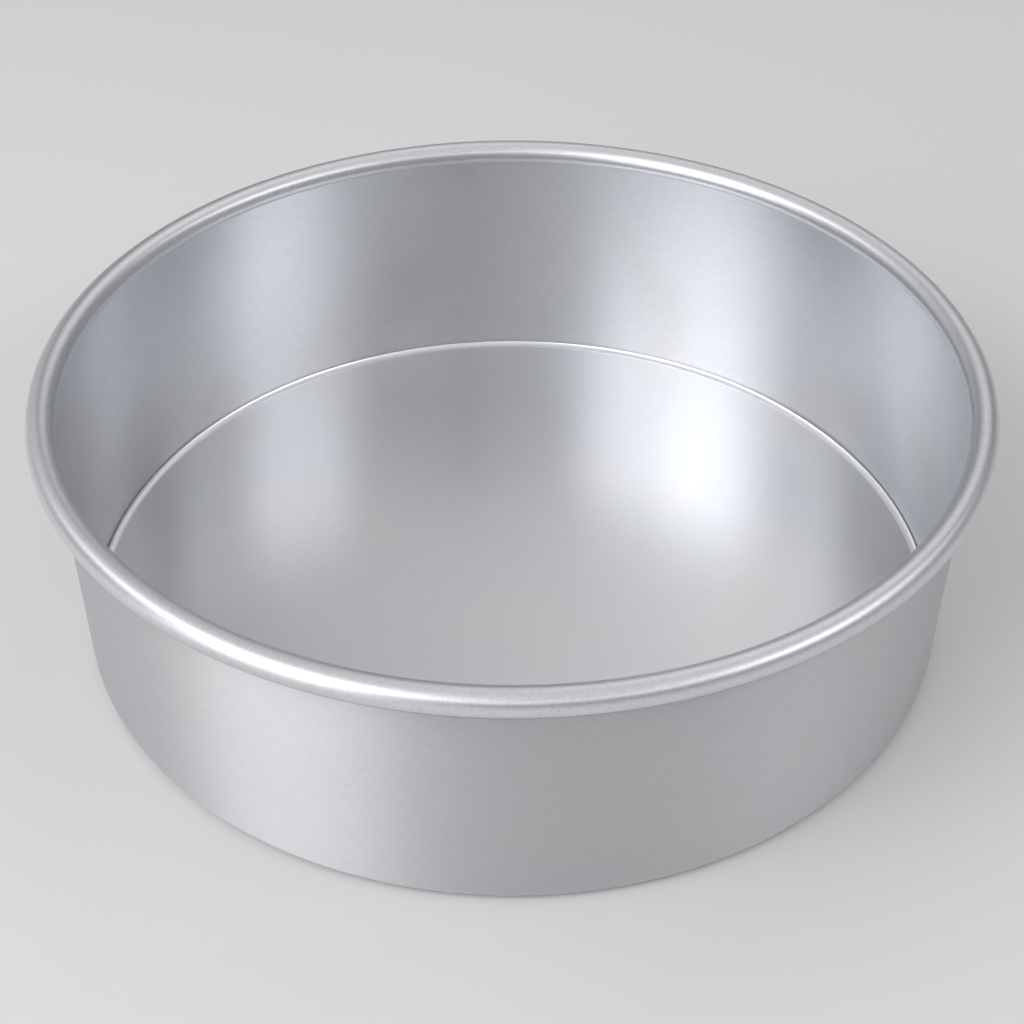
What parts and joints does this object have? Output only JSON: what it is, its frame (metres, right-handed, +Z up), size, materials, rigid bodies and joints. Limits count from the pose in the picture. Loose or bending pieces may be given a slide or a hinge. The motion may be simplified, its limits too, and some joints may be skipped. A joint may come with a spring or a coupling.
{
  "type": "round cake tin",
  "caption": "Round straight-sided cake tin in satin aluminium, with a rolled wired rim and a loose flat base that lifts out of its foot ledge.",
  "frame": {"origin": "centre of the flat face that the tin stands on", "axes": "+Z up along the tin's axis, through the middle of the base; +X and +Y are any two directions square to it"},
  "size_m": [0.269, 0.269, 0.0788],
  "materials": {
    "wall_aluminium": "satin, fine turned grain around the wall",
    "rim_wire_steel": "plain drawn wire, hidden in the rim",
    "base_aluminium": "satin, fine straight rolled grain, with a bright burnished edge"
  },
  "bodies": {
    "tin": {"tin_wall": "wall_aluminium", "rim_wire": "rim_wire_steel"},
    "base": {"loose_base": "base_aluminium"}
  },
  "joints": [
    {"name": "base_lift", "type": "slide", "parent": "tin", "child": "base", "axis": [0, 0, 1], "range_m": [0, 0.09]}
  ]
}
